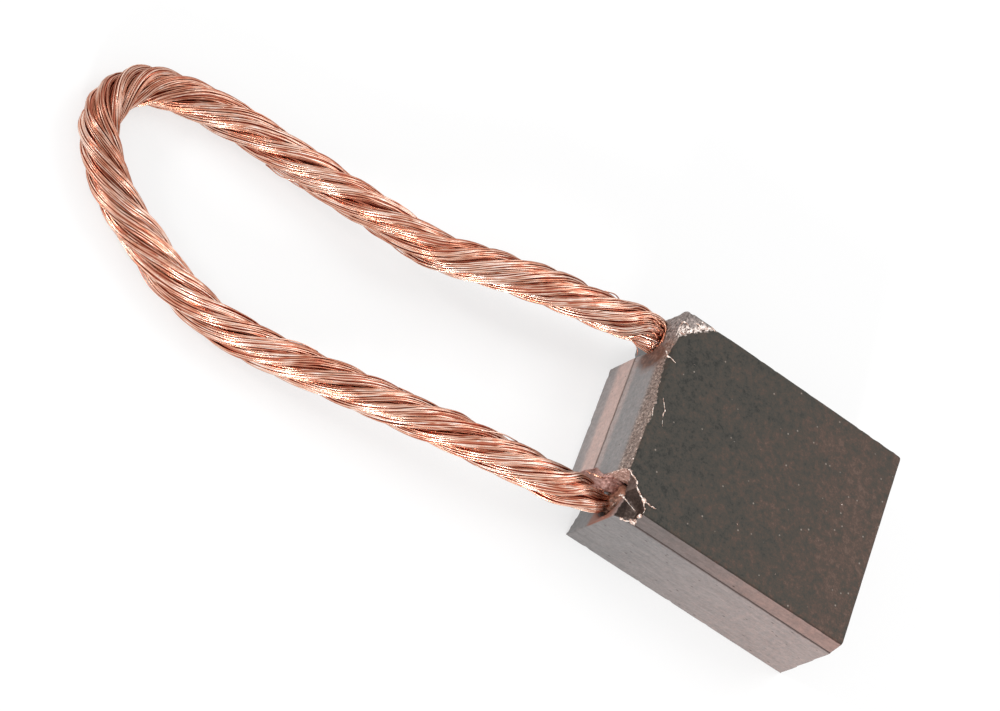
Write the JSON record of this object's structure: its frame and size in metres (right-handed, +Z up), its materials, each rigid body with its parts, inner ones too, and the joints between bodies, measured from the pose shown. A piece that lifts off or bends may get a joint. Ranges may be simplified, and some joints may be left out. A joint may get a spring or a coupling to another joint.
{
  "type": "carbon brush",
  "caption": "Rectangular pressed copper-graphite brush with a looped stranded copper flexible whose ends enter notches at the end's corners; a corner is broken off.",
  "frame": {"origin": "centre of the block's back face, on the surface that the brush lies on", "axes": "+X along the block from the flexible end to the wear face, +Z up through the thickness to the dark top face"},
  "size_m": [0.0742, 0.0226, 0.0088],
  "materials": {
    "carbon_block": "matte",
    "flexible": "satin"
  },
  "bodies": {
    "root": {"carbon_block": "carbon_block", "flexible": "flexible"}
  },
  "joints": []
}
